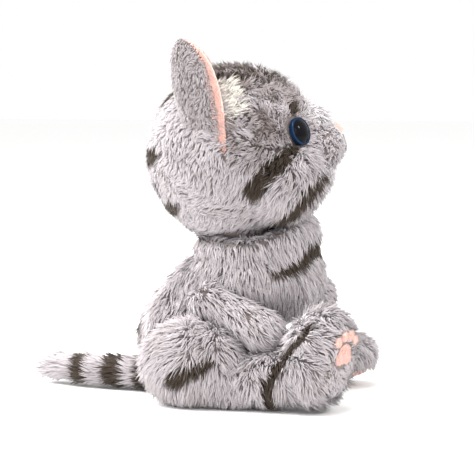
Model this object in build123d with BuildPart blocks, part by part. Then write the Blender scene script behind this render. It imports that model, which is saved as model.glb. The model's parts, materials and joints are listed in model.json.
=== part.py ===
"""A sitting plush cat: sewn fur skins over stuffing, with safety eyes and a bag of pellets in the seat.

The cat sits on Z = 0 and faces -Y, so that its right side is at -X. Millimetres.
The head is a ball, and all that slides under it is concentric with it. Each limb is sewn on
at a flat round seam that lies in a plane of constant X, and swings in that plane.
"""
import os
from math import asin, cos, degrees, radians, sin

from build123d import *

# ---- skins, seams and clearances ----
SKIN = 1.2            # thickness of a plush skin
GAP = 0.4             # room between two pieces that move on each other
SIDES = {"right": -1, "left": 1}

# ---- head ----
HEAD_R = 39.0         # ball of the head, over the skin
HEAD_Y = -19.0        # centre of the head
HEAD_Z = 116.0
HEAD_TURN = 15.0      # turned to the cat's left, degrees
HEAD_TILT = 20.0      # nose up, degrees
GUSSET_HALF = 14.0    # half width of the strip over the head
CHIN_DROP = 22.0      # the chin panel starts this far below the centre
MUZZLE_R = 15.0
MUZZLE_FORWARD = HEAD_R - 4.0
MUZZLE_DROP = 11.0

# ---- eyes, nose and mouth ----
EYE_YAW = 38.0        # from straight ahead, degrees
EYE_R = 6.7
EYE_RIM = 1.2         # how far the rim of an eye stands out of the skin
PUPIL_R = 5.7
PUPIL_RISE = 1.9
STEM_R = 1.6
STEM_LENGTH = 6.0
STEM_ROOM = 0.1
WASHER_R = 5.0
WASHER_T = 1.2
NOSE_R = 4.4
NOSE_RISE = 2.0
NOSE_TILT = 24.0
NOSE_CORNER = 1.2
NOSE_EDGE = 0.8
THREAD_R = 0.45
LIP_TOP = -6.0        # the stitches' places round the muzzle: degrees down from straight ahead
LIP_END = 11.0
MOUTH_STEPS = ((3.0, 14.0), (17.0, 22.0), (31.0, 17.0))   # degrees sideways and down
STITCH_SPACE = 2.0    # degrees between two stitches

# ---- ears ----
EAR_R = 14.0          # radius of the cupped ear
EAR_X = HEAD_R - EAR_R           # root of the ear, from the centre of the head
EAR_BACK = 5.0
EAR_UP = HEAD_R - 21.0
EAR_HEIGHT = 45.0
EAR_LEAN = 17.0       # forward, degrees
EAR_SPLAY = 7.0       # outward, degrees
EAR_ROOM = 2.4        # between the root of an ear and the head

# ---- torso ----
CHEST_R = 31.0
CHEST_Y = HEAD_Y - 12.0
CHEST_Z = 62.0
HIP_R = 29.0
HIP_Y = HEAD_Y + 20.0
HIP_Z = 27.0
TORSO_HALF = 26.0     # half width at the flat seams of the limbs
SEAT_HEIGHT = 10.0
BELLY_LEAN = 38.0     # slope of the seam between belly and back, degrees from vertical
WADDING_T = 2.0
WADDING_DROP = 32.0
BAG_R = 16.0
BAG_Y = HIP_Y - 2.0
BAG_Z = 20.0
PELLET_R = BAG_R - 0.6

# ---- arms ----
LIMB_SEAM = TORSO_HALF + GAP
SHOULDER = (30.0, HEAD_Y + 6.0, 53.0)
PAW = {"right": (36.0, HEAD_Y - 22.0, 36.0), "left": (36.0, HEAD_Y - 30.0, 46.0)}
SHOULDER_R = 8.5
PAW_R = 9.0

# ---- legs ----
HAUNCH_R = 21.5
HAUNCH_Y = HEAD_Y + 17.0
HAUNCH_Z = 21.2
HAUNCH_OUT = 50.0
RIM_ROUND = 1.5       # fall of the thigh's rim at its seam
ANKLE_R = 10.0
ANKLE_X = 38.0
ANKLE_Z = 9.6
ANKLE_BACK = HEAD_Y - 2.0
FOOT_X = {"right": 44.1, "left": 41.2}
FOOT_HALF_WIDTH = 16.0
FOOT_HALF_LENGTH = 24.0
FOOT_DEPTH = {"right": 23.0, "left": 17.0}        # the left foot is pressed down on its sole
FOOT_ROUND = 7.5
SOLE_Y = {"right": HEAD_Y - 60.0, "left": HEAD_Y - 40.0}    # middle of each sole
SOLE_Z = {"right": 24.6, "left": 5.8}
FOOT_YAW = {"right": 20.0, "left": 2.0}      # outward, degrees
FOOT_PITCH = {"right": 14.0, "left": 80.0}   # sole turned down, degrees
PAD_T = 0.8
PAD_HALF = (6.5, 5.5)
PAD_UP = 3.0          # centre of the pad above the middle of the sole
TOE_R = 1.9
TOE_REACH = 9.5       # from the middle of the pad to each toe
TOE_START = 45.0      # degrees
SOLE_FOLD = 3.0       # the sole wraps this far round the foot's edge
THIGH_SEAM_Y = HAUNCH_Y - HAUNCH_R - 1.0
ANKLE_SEAM = {"right": 33.0, "left": 26.0}    # from the sole's middle back to the seam of ankle and foot

# ---- tail ----
TAIL_ROOT_Y = HIP_Y + 25.0
TAIL_Z = 6.9
TAIL_ROOT_R = 7.0
TAIL_TIP_R = 4.6
TAIL_REACH = 54.7
TAIL_BEND = 11.0


def capsule(start, end, start_r, end_r):
    """A ball at each end and the cone that touches both, as one solid of revolution."""
    run = Vector(*end) - Vector(*start)
    side = run.cross(Vector(0, 0, 1)) if abs(run.normalized().Z) < 0.99 else Vector(1, 0, 0)
    section = Plane(origin=start, x_dir=side, z_dir=side.cross(run))
    lean = asin((start_r - end_r) / run.length)
    low_mid = (lean - radians(90)) / 2
    high_mid = (lean + radians(90)) / 2
    with BuildPart(mode=Mode.PRIVATE) as form:
        with BuildSketch(section):
            with BuildLine():
                low = ThreePointArc(
                    (0, -start_r),
                    (start_r * cos(low_mid), start_r * sin(low_mid)),
                    (start_r * cos(lean), start_r * sin(lean)),
                )
                high = ThreePointArc(
                    (end_r * cos(lean), run.length + end_r * sin(lean)),
                    (end_r * cos(high_mid), run.length + end_r * sin(high_mid)),
                    (0, run.length + end_r),
                )
                Line(low @ 1, high @ 0)
                Line(high @ 1, low @ 0)
            make_face()
        revolve(axis=Axis(start, run))
    return form.part


def mirrored_x(point, sign):
    """A point given for the left side, put on the side of the given sign."""
    return (sign * point[0], point[1], point[2])


def torso_form(inset):
    """The outer form of the torso, drawn in by a skin's thickness where inset is given."""
    bowl = HEAD_R + GAP + WADDING_T + GAP
    body = capsule((0, HIP_Y, HIP_Z), (0, CHEST_Y, CHEST_Z), HIP_R - inset, CHEST_R - inset)
    with BuildPart(mode=Mode.PRIVATE) as form:
        add(body)
        split(bisect_by=Plane.XY.offset(inset), keep=Keep.TOP)
        split(bisect_by=Plane.YZ.offset(TORSO_HALF - inset), keep=Keep.BOTTOM)
        split(bisect_by=Plane.YZ.offset(inset - TORSO_HALF), keep=Keep.TOP)
        with Locations((0, HEAD_Y, HEAD_Z)):
            Sphere(bowl + inset, mode=Mode.SUBTRACT)
        with Locations((0, TAIL_ROOT_Y, TAIL_Z)):
            Sphere(TAIL_ROOT_R + 2 * GAP + inset, mode=Mode.SUBTRACT)
    return form.part


def arm_form(side, inset):
    """One arm, cut flat where it is sewn to the torso."""
    sign = SIDES[side]
    limb = capsule(mirrored_x(SHOULDER, sign), mirrored_x(PAW[side], sign), SHOULDER_R - inset, PAW_R - inset)
    with BuildPart(mode=Mode.PRIVATE) as form:
        add(limb)
        split(bisect_by=Plane.YZ.offset(sign * (LIMB_SEAM + inset)),
              keep=Keep.TOP if sign > 0 else Keep.BOTTOM)
    return form.part


def sole_plane(side):
    """The plane of a foot's sole: its normal points out of the sole, its y axis to the toes."""
    sign = SIDES[side]
    yaw = radians(FOOT_YAW[side])
    pitch = radians(FOOT_PITCH[side])
    normal = (sign * sin(yaw) * cos(pitch), -cos(yaw) * cos(pitch), -sin(pitch))
    centre = (sign * FOOT_X[side], SOLE_Y[side], SOLE_Z[side])
    return Plane(origin=centre, x_dir=(cos(yaw), sign * sin(yaw), 0), z_dir=normal)


def haunch_form(sign, inset):
    """The round thigh: flat on its seam and domed outside, turned about the hip's axis."""
    hip = Plane(origin=(0, HAUNCH_Y, HAUNCH_Z), x_dir=(sign, 0, 0), z_dir=(0, -sign, 0))
    seam = LIMB_SEAM + inset
    top = HAUNCH_R - inset
    out = HAUNCH_OUT - inset
    with BuildPart(mode=Mode.PRIVATE) as form:
        with BuildSketch(hip):
            with BuildLine():
                rim = Line((seam, 0), (seam, top - RIM_ROUND))
                edge = Spline((seam, top - RIM_ROUND), (seam + 6.0, top), (out - 5.0, top * 0.62), (out, 0),
                              tangents=((0.8, 1), (0, -1)))
                Line(edge @ 1, rim @ 0)
            make_face()
        revolve(axis=Axis((0, HAUNCH_Y, HAUNCH_Z), (sign, 0, 0)))
    return form.part


def foot_form(side, inset):
    """One foot: an oval block behind its sole, rounded all over."""
    with BuildPart(mode=Mode.PRIVATE) as form:
        with BuildSketch(sole_plane(side).offset(-inset)):
            Ellipse(FOOT_HALF_WIDTH - inset, FOOT_HALF_LENGTH - inset)
        extrude(amount=-(FOOT_DEPTH[side] - 2 * inset))
        fillet(form.edges(), FOOT_ROUND - inset)
    return form.part


def leg_form(side, inset):
    """Thigh, ankle and foot in one, cut flat at the hip's seam and under the cat."""
    sign = SIDES[side]
    heel = sole_plane(side).from_local_coords((0, -10.0, -FOOT_DEPTH[side] / 2))
    ankle = capsule((sign * ANKLE_X, ANKLE_BACK, ANKLE_Z), (heel.X, heel.Y, max(heel.Z, ANKLE_Z)),
                    ANKLE_R - inset, ANKLE_R - inset)
    thigh = haunch_form(sign, inset)
    foot = foot_form(side, inset)
    with BuildPart(mode=Mode.PRIVATE) as form:
        add(thigh)
        add(ankle)
        add(foot)
        split(bisect_by=Plane.XY.offset(inset), keep=Keep.TOP)
        split(bisect_by=Plane.YZ.offset(sign * (LIMB_SEAM + inset)),
              keep=Keep.TOP if sign > 0 else Keep.BOTTOM)
    return form.part


def finish(builder, name):
    """Label a finished piece and write it to its own file."""
    builder.part.label = name
    export_step(builder.part, f"parts/{name}.step")


os.makedirs("parts", exist_ok=True)
FROM_BASE = (Align.CENTER, Align.CENTER, Align.MIN)

# ---- head: its own frame has x to the cat's left, y backward and z up through the crown ----
HEAD = Plane(Location((0, HEAD_Y, HEAD_Z)) * Rotation(0, 0, HEAD_TURN) * Rotation(-HEAD_TILT, 0, 0))
CHIN_LINE = HEAD.offset(-CHIN_DROP)
MUZZLE_CENTRE = (0, -MUZZLE_FORWARD, -MUZZLE_DROP)
WASHER_TOP = HEAD_R - SKIN - GAP


def head_direction(sideways, down):
    """A direction from straight ahead of the head, turned to its left and down, in degrees."""
    yaw = radians(sideways)
    drop = radians(down)
    return (HEAD.x_dir * (sin(yaw) * cos(drop)) - HEAD.y_dir * (cos(yaw) * cos(drop))
            - HEAD.z_dir * sin(drop))


GUSSET_EDGE = {
    side: Plane(origin=HEAD.origin + HEAD.x_dir * (sign * GUSSET_HALF), x_dir=HEAD.y_dir,
                z_dir=HEAD.x_dir * sign)
    for side, sign in SIDES.items()
}
EYE = {
    side: Plane(origin=HEAD.origin, x_dir=HEAD.z_dir, z_dir=head_direction(sign * EYE_YAW, 0))
    for side, sign in SIDES.items()
}

with BuildPart(mode=Mode.PRIVATE) as head_shell:
    with Locations(HEAD.location):
        Sphere(HEAD_R, rotation=(0, 0, 90))
        Sphere(HEAD_R - SKIN, rotation=(0, 0, 90), mode=Mode.SUBTRACT)
    for side in SIDES:
        with Locations(EYE[side].location):
            Cylinder(STEM_R + STEM_ROOM, HEAD_R + SKIN, align=FROM_BASE, mode=Mode.SUBTRACT)

for side in SIDES:
    with BuildPart() as head_panel:
        add(head_shell.part)
        split(bisect_by=GUSSET_EDGE[side], keep=Keep.TOP)
        split(bisect_by=CHIN_LINE, keep=Keep.TOP)
    finish(head_panel, f"head_{side}_panel")

with BuildPart() as head_top_gusset:
    add(head_shell.part)
    split(bisect_by=GUSSET_EDGE["right"], keep=Keep.BOTTOM)
    split(bisect_by=GUSSET_EDGE["left"], keep=Keep.BOTTOM)
    split(bisect_by=CHIN_LINE, keep=Keep.TOP)
finish(head_top_gusset, "head_top_gusset")

with BuildPart() as head_chin:
    add(head_shell.part)
    split(bisect_by=CHIN_LINE, keep=Keep.BOTTOM)
finish(head_chin, "head_chin")

with BuildPart() as head_stuffing:
    with Locations(HEAD.location):
        Sphere(HEAD_R - SKIN)
    for side in SIDES:
        with Locations(EYE[side].offset(WASHER_TOP - WASHER_T).location):
            Cylinder(WASHER_R, HEAD_R, align=FROM_BASE, mode=Mode.SUBTRACT)
        with Locations(EYE[side].offset(HEAD_R - STEM_LENGTH).location):
            Cylinder(STEM_R + STEM_ROOM, HEAD_R, align=FROM_BASE, mode=Mode.SUBTRACT)
finish(head_stuffing, "head_stuffing")

# ---- muzzle, nose and mouth ----
with BuildPart() as muzzle_stuffing:
    with Locations(HEAD.location):
        with Locations(MUZZLE_CENTRE):
            Sphere(MUZZLE_R - SKIN)
        Sphere(HEAD_R, mode=Mode.SUBTRACT)
finish(muzzle_stuffing, "muzzle_stuffing")

with BuildPart() as muzzle_panel:
    with Locations(HEAD.location):
        with Locations(MUZZLE_CENTRE):
            Sphere(MUZZLE_R)
            Sphere(MUZZLE_R - SKIN, mode=Mode.SUBTRACT)
        Sphere(HEAD_R, mode=Mode.SUBTRACT)
finish(muzzle_panel, "muzzle_panel")

MUZZLE_ORIGIN = HEAD.from_local_coords(MUZZLE_CENTRE)
NOSE_OUT = head_direction(0, -NOSE_TILT)
NOSE_PLANE = Plane(origin=MUZZLE_ORIGIN, x_dir=HEAD.x_dir, z_dir=NOSE_OUT)
with BuildPart() as nose:
    with BuildSketch(NOSE_PLANE.offset(MUZZLE_R - NOSE_RISE)) as nose_outline:
        RegularPolygon(NOSE_R, 3, rotation=-90)
        fillet(nose_outline.vertices(), NOSE_CORNER)
    extrude(amount=2 * NOSE_RISE)
    fillet(nose.faces().sort_by(Axis(MUZZLE_ORIGIN, NOSE_OUT))[-1].edges(), NOSE_EDGE)
    with Locations(MUZZLE_ORIGIN):
        Sphere(MUZZLE_R, mode=Mode.SUBTRACT)
finish(nose, "nose")


def on_muzzle(sideways, down):
    """A point of a stitch on the muzzle."""
    point = MUZZLE_ORIGIN + head_direction(sideways, down) * MUZZLE_R
    return (point.X, point.Y, point.Z)


stitches = [capsule(on_muzzle(0, LIP_TOP), on_muzzle(0, LIP_END), THREAD_R, THREAD_R)]
for sign in SIDES.values():
    for near, far in zip(MOUTH_STEPS, MOUTH_STEPS[1:]):
        start = on_muzzle(sign * near[0], near[1])
        end = on_muzzle(sign * (far[0] - 2 * STITCH_SPACE), far[1])
        stitches.append(capsule(start, end, THREAD_R, THREAD_R))
with BuildPart() as mouth_stitches:
    for stitch in stitches:
        add(stitch)
    with Locations(MUZZLE_ORIGIN):
        Sphere(MUZZLE_R, mode=Mode.SUBTRACT)
finish(mouth_stitches, "mouth_stitches")

# ---- eyes: rim and stem, pupil dome, and the washer that holds the stem inside the head ----
DOME_R = (PUPIL_R ** 2 + PUPIL_RISE ** 2) / (2 * PUPIL_RISE)
RIM_TOP = HEAD_R + EYE_RIM
for side in SIDES:
    with BuildPart() as eye_rim:
        with Locations(EYE[side].offset(HEAD_R - 2 * EYE_RIM).location):
            Cylinder(EYE_R, 3 * EYE_RIM, align=FROM_BASE)
        fillet(eye_rim.edges().sort_by(Axis(HEAD.origin, EYE[side].z_dir))[-1], EYE_RIM / 3)
        with Locations(HEAD.location):
            Sphere(HEAD_R, mode=Mode.SUBTRACT)
        with Locations(EYE[side].offset(HEAD_R - STEM_LENGTH).location):
            Cylinder(STEM_R, STEM_LENGTH + EYE_RIM / 2, align=FROM_BASE)
    finish(eye_rim, f"{side}_eye_rim")

    with BuildPart() as eye_pupil:
        with Locations(EYE[side].offset(RIM_TOP + PUPIL_RISE - DOME_R).location):
            Sphere(DOME_R)
        split(bisect_by=EYE[side].offset(RIM_TOP), keep=Keep.TOP)
    finish(eye_pupil, f"{side}_eye_pupil")

    with BuildPart() as eye_washer:
        with Locations(EYE[side].offset(WASHER_TOP - WASHER_T).location):
            Cylinder(WASHER_R - STEM_ROOM, WASHER_T, align=FROM_BASE)
            Cylinder(STEM_R, WASHER_T, align=FROM_BASE, mode=Mode.SUBTRACT)
    finish(eye_washer, f"{side}_eye_washer")

# ---- ears: a back and a lining, cupped to the front, each a pointed arch seen from the front ----
for side, sign in SIDES.items():
    lean = radians(EAR_LEAN)
    splay = radians(EAR_SPLAY)
    root = HEAD.from_local_coords((sign * EAR_X, EAR_BACK, EAR_UP))
    up = (HEAD.x_dir * (sign * sin(splay)) - HEAD.y_dir * (sin(lean) * cos(splay))
          + HEAD.z_dir * (cos(lean) * cos(splay)))
    EAR = Plane(origin=root, x_dir=HEAD.x_dir - up * HEAD.x_dir.dot(up), z_dir=up)
    front = Plane(origin=root, x_dir=EAR.x_dir, z_dir=-EAR.y_dir)
    for layer, outer in (("back", EAR_R), ("lining", EAR_R - SKIN)):
        with BuildPart() as ear_layer:
            with BuildSketch(front):
                with BuildLine():
                    base = Line((-EAR_R, -EAR_R), (EAR_R, -EAR_R))
                    flank = Spline(base @ 1, (EAR_R, EAR_R * 0.6), (0, EAR_HEIGHT), tangents=((0, 1), (-0.6, 1)))
                    mirror(flank, about=Plane.YZ)
                make_face()
            extrude(amount=EAR_R, both=True)
            with Locations(EAR.offset(-EAR_R).location):
                Cylinder(outer, 2 * EAR_HEIGHT, align=FROM_BASE, mode=Mode.INTERSECT)
                Cylinder(outer - SKIN, 2 * EAR_HEIGHT, align=FROM_BASE, mode=Mode.SUBTRACT)
            split(bisect_by=front, keep=Keep.BOTTOM)
            with Locations(HEAD.location):
                Sphere(HEAD_R + EAR_ROOM, mode=Mode.SUBTRACT)
        finish(ear_layer, f"{side}_ear_{layer}")

# ---- neck: a bowl of wadding that turns under the head ----
with BuildPart() as neck_wadding:
    with Locations((0, HEAD_Y, HEAD_Z)):
        Sphere(HEAD_R + GAP + WADDING_T)
        Sphere(HEAD_R + GAP, mode=Mode.SUBTRACT)
    split(bisect_by=Plane.XY.offset(HEAD_Z - WADDING_DROP), keep=Keep.BOTTOM)
finish(neck_wadding, "neck_wadding")

# ---- torso: seat, belly and two back panels, with stuffing and a bag of pellets ----
torso_outer = torso_form(0)
torso_inner = torso_form(SKIN)
SEAT_LINE = Plane.XY.offset(SEAT_HEIGHT)
BELLY_SEAM = Plane(origin=(0, HIP_Y, HIP_Z), x_dir=(1, 0, 0),
                   z_dir=(0, -cos(radians(BELLY_LEAN)), -sin(radians(BELLY_LEAN))))
with BuildPart(mode=Mode.PRIVATE) as torso_shell:
    add(torso_outer)
    add(torso_inner, mode=Mode.SUBTRACT)

with BuildPart() as torso_seat:
    add(torso_shell.part)
    split(bisect_by=SEAT_LINE, keep=Keep.BOTTOM)
finish(torso_seat, "torso_seat")

with BuildPart() as torso_belly:
    add(torso_shell.part)
    split(bisect_by=SEAT_LINE, keep=Keep.TOP)
    split(bisect_by=BELLY_SEAM, keep=Keep.TOP)
finish(torso_belly, "torso_belly")

for side, sign in SIDES.items():
    with BuildPart() as torso_back:
        add(torso_shell.part)
        split(bisect_by=SEAT_LINE, keep=Keep.TOP)
        split(bisect_by=BELLY_SEAM, keep=Keep.BOTTOM)
        split(bisect_by=Plane.YZ, keep=Keep.TOP if sign > 0 else Keep.BOTTOM)
    finish(torso_back, f"torso_back_{side}")

with BuildPart() as pellet_bag:
    with Locations((0, BAG_Y, BAG_Z)):
        Sphere(BAG_R)
        Sphere(PELLET_R, mode=Mode.SUBTRACT)
finish(pellet_bag, "pellet_bag")

with BuildPart() as pellets:
    with Locations((0, BAG_Y, BAG_Z)):
        Sphere(PELLET_R)
finish(pellets, "pellets")

with BuildPart() as torso_stuffing:
    add(torso_inner)
    with Locations((0, BAG_Y, BAG_Z)):
        Sphere(BAG_R, mode=Mode.SUBTRACT)
finish(torso_stuffing, "torso_stuffing")

# ---- arms ----
for side, sign in SIDES.items():
    arm_outer = arm_form(side, 0)
    arm_inner = arm_form(side, SKIN)
    with BuildPart() as arm_skin:
        add(arm_outer)
        add(arm_inner, mode=Mode.SUBTRACT)
    finish(arm_skin, f"{side}_arm_skin")
    with BuildPart() as arm_stuffing:
        add(arm_inner)
    finish(arm_stuffing, f"{side}_arm_stuffing")

# ---- legs: skins of thigh, ankle and foot, the short sole, stuffing, and the pads sewn on the sole ----
for side, sign in SIDES.items():
    sole = sole_plane(side)
    leg_outer = leg_form(side, 0)
    leg_inner = leg_form(side, SKIN)
    thigh_seam = Plane.XZ.offset(-THIGH_SEAM_Y)
    ankle_seam = Plane.XZ.offset(-SOLE_Y[side] - ANKLE_SEAM[side])
    with BuildPart(mode=Mode.PRIVATE) as leg_skin:
        add(leg_outer)
        add(leg_inner, mode=Mode.SUBTRACT)
    with BuildPart() as thigh_skin:
        add(leg_skin.part)
        split(bisect_by=thigh_seam, keep=Keep.BOTTOM)
    finish(thigh_skin, f"{side}_thigh_skin")
    with BuildPart() as ankle_skin:
        add(leg_skin.part)
        split(bisect_by=thigh_seam, keep=Keep.TOP)
        split(bisect_by=ankle_seam, keep=Keep.BOTTOM)
    finish(ankle_skin, f"{side}_ankle_skin")
    with BuildPart() as foot_skin:
        add(leg_skin.part)
        split(bisect_by=ankle_seam, keep=Keep.TOP)
        split(bisect_by=sole.offset(-SOLE_FOLD), keep=Keep.BOTTOM)
    finish(foot_skin, f"{side}_foot_skin")
    with BuildPart() as foot_sole:
        add(leg_skin.part)
        split(bisect_by=ankle_seam, keep=Keep.TOP)
        split(bisect_by=sole.offset(-SOLE_FOLD), keep=Keep.TOP)
    finish(foot_sole, f"{side}_foot_sole")
    with BuildPart() as leg_stuffing:
        add(leg_inner)
    finish(leg_stuffing, f"{side}_leg_stuffing")
    with BuildPart() as paw_pad:
        with BuildSketch(sole):
            with Locations((0, PAD_UP)):
                Ellipse(*PAD_HALF)
        extrude(amount=PAD_T)
    finish(paw_pad, f"{side}_paw_pad")
    with BuildPart() as toe_pads:
        with BuildSketch(sole):
            with Locations((0, PAD_UP)):
                with PolarLocations(TOE_REACH, 4, start_angle=TOE_START, angular_range=180 - 2 * TOE_START,
                                    endpoint=True):
                    Circle(TOE_R)
        extrude(amount=PAD_T)
    finish(toe_pads, f"{side}_toe_pads")

# ---- tail: it turns on the ball at its root ----
TAIL_ROOT = (0, TAIL_ROOT_Y, TAIL_Z)
TAIL_MIDDLE = (TAIL_BEND * 0.25, TAIL_ROOT_Y + TAIL_REACH * 0.5, TAIL_Z)
TAIL_END = (TAIL_BEND, TAIL_ROOT_Y + TAIL_REACH, TAIL_TIP_R + 0.2)
TAIL_MIDDLE_R = (TAIL_ROOT_R + TAIL_TIP_R) / 2
tail_forms = {
    inset: (capsule(TAIL_ROOT, TAIL_MIDDLE, TAIL_ROOT_R - inset, TAIL_MIDDLE_R + 0.4 - inset),
            capsule(TAIL_MIDDLE, TAIL_END, TAIL_MIDDLE_R + 0.4 - inset, TAIL_TIP_R - inset))
    for inset in (0, SKIN)
}
with BuildPart() as tail_skin:
    for form in tail_forms[0]:
        add(form)
    split(bisect_by=Plane.XY, keep=Keep.TOP)
    for form in tail_forms[SKIN]:
        add(form, mode=Mode.SUBTRACT)
finish(tail_skin, "tail_skin")
with BuildPart() as tail_stuffing:
    for form in tail_forms[SKIN]:
        add(form)
finish(tail_stuffing, "tail_stuffing")
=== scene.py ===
"""A sitting tabby plush cat: padded skins, sewn ears and feet, and pile grown on every skin."""

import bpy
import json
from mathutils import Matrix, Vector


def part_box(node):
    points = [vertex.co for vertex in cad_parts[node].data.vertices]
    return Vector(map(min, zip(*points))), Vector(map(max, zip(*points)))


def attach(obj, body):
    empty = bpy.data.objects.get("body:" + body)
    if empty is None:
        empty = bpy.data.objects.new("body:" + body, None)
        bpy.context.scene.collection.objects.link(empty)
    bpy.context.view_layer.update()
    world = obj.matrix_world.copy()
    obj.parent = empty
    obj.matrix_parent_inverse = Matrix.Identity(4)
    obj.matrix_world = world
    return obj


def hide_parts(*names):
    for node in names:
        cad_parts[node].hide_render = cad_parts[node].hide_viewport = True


bl_info = {
    "name": "Plush Cat",
    "version": (1, 0, 0),
    "blender": (4, 5, 0),
    "location": "View3D > Sidebar > Plush Cat",
    "description": "Builds the skins, pile, eyes and pads of a sitting tabby plush cat",
    "category": "Add Mesh",
}

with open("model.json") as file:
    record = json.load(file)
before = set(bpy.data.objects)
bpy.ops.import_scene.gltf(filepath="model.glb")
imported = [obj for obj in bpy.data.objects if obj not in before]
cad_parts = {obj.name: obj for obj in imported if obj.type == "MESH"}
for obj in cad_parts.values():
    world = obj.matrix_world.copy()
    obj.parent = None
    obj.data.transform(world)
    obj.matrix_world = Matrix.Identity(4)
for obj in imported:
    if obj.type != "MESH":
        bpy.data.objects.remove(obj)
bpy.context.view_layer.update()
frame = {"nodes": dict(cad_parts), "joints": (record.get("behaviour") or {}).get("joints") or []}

import json
import math

import bpy
import numpy as np
from bpy.props import FloatProperty, FloatVectorProperty, IntProperty, PointerProperty
from mathutils import Matrix, Vector, kdtree

MM = 0.001
SIDES = {"right": -1, "left": 1}      # and the sign of x on each side
JOINTS = {joint["name"]: joint for joint in frame["joints"]}


# ---------------------------------------------------------------- landmarks, in millimetres

def joint_place(name):
    """Where a joint turns, in millimetres."""
    return np.array(JOINTS[name]["pos_m"]) / MM


def node_points(name):
    """The corners of a frame node's mesh, in millimetres."""
    mesh = frame["nodes"][name].data
    points = np.empty(len(mesh.vertices) * 3)
    mesh.vertices.foreach_get("co", points)
    return points.reshape(-1, 3) / MM


def node_middle(name):
    """The middle of a frame node's box, in millimetres."""
    low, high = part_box(name)
    return np.array((low + high) / 2) / MM


def flat_frame(name):
    """Middle, sideways, upward and outward directions of a flat sewn pad."""
    points = node_points(name)
    middle = node_middle(name)
    spread = np.linalg.svd(points - points.mean(0), full_matrices=False)[2]
    outward = spread[2] if spread[2][1] < 0 else -spread[2]
    sideways = np.cross((0, 0, 1), outward)
    sideways /= -np.linalg.norm(sideways)
    upward = np.cross(outward, sideways)
    upward *= np.sign(upward[2])
    return middle, sideways, upward, outward


HEAD = joint_place("head_turn")
HEAD_LEFT = np.array(JOINTS["head_nod"]["axis"])
HEAD_LEVEL_BACK = np.cross((0, 0, 1), HEAD_LEFT)
HEAD_TILT = math.radians(20)
HEAD_BACK = HEAD_LEVEL_BACK * math.cos(HEAD_TILT) - np.array((0, 0, 1)) * math.sin(HEAD_TILT)
HEAD_UP = HEAD_LEVEL_BACK * math.sin(HEAD_TILT) + np.array((0, 0, 1)) * math.cos(HEAD_TILT)
HEAD_AXES = np.array((HEAD_LEFT, HEAD_BACK, HEAD_UP))
HIPS = np.array((0, HEAD[1] + 17, 28))
TAIL_ROOT = joint_place("tail_swing")


def from_head(points):
    """Places given as left, back and up of the head's centre, in the cat's frame."""
    return np.asarray(points, float) @ HEAD_AXES + HEAD


def in_head(points):
    """Places in the cat's frame, as left, back and up of the head's centre."""
    return (points - HEAD) @ HEAD_AXES.T


# ---------------------------------------------------------------- settings

class PileSettings(bpy.types.PropertyGroup):
    """Lengths and closeness of the pile."""
    closeness: FloatProperty(name="Closeness", description="Locks of pile on a square millimetre",
                             default=1.6, min=0.1, max=4)
    body_length: FloatProperty(name="Body pile", description="Length of the pile on the body, in mm",
                               default=6.2, min=1, max=20)
    head_length: FloatProperty(name="Head pile", description="Length of the pile on the head, in mm",
                               default=4.6, min=1, max=20)
    short_length: FloatProperty(name="Short pile", description="Length on muzzle, ears and soles, in mm",
                                default=2.0, min=0.5, max=10)
    lock_width: FloatProperty(name="Lock width", description="Width of one lock at its root, in mm",
                              default=0.8, min=0.1, max=3)
    seed: IntProperty(name="Seed", description="Start of every random draw", default=7)


class ColourSettings(bpy.types.PropertyGroup):
    """Colours of the cloths, the pile and the eyes."""
    cool: FloatVectorProperty(name="Cool grey", description="Tips of the main pile", subtype="COLOR",
                              size=3, default=(0.62, 0.575, 0.60))
    warm: FloatVectorProperty(name="Warm grey", description="Mottling of the main pile", subtype="COLOR",
                              size=3, default=(0.29, 0.24, 0.23))
    # the pale colour also paints the highlight on the back's ridges and the rim light on the tops of the feet
    pale: FloatVectorProperty(name="Pale", description="Palest pile of the brow and feet", subtype="COLOR",
                              size=3, default=(0.80, 0.76, 0.78))
    stripe: FloatVectorProperty(name="Stripe", description="Olive brown stripes", subtype="COLOR",
                                size=3, default=(0.060, 0.044, 0.032))
    pink: FloatVectorProperty(name="Pink", description="Ear lining, nose and pads", subtype="COLOR",
                              size=3, default=(0.90, 0.57, 0.50))
    cream: FloatVectorProperty(name="Cream", description="Long tufts in the ears", subtype="COLOR",
                               size=3, default=(0.93, 0.89, 0.80))
    iris: FloatVectorProperty(name="Eye rim", description="Blue rim of an eye", subtype="COLOR",
                              size=3, default=(0.006, 0.022, 0.06))


def pile():
    """The pile settings in use."""
    return bpy.context.scene.plush_pile


def colours():
    """The colour settings in use."""
    return bpy.context.scene.plush_colours


# ---------------------------------------------------------------- shader helpers

class Socket:
    """A socket in a shader, which multiplied by another adds a Math node."""

    def __init__(self, shader, value):
        self.shader = shader
        self.value = value

    def __mul__(self, other):
        return self.shader.node("ShaderNodeMath", {"operation": "MULTIPLY"}, self, other)

    __rmul__ = __mul__


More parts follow.
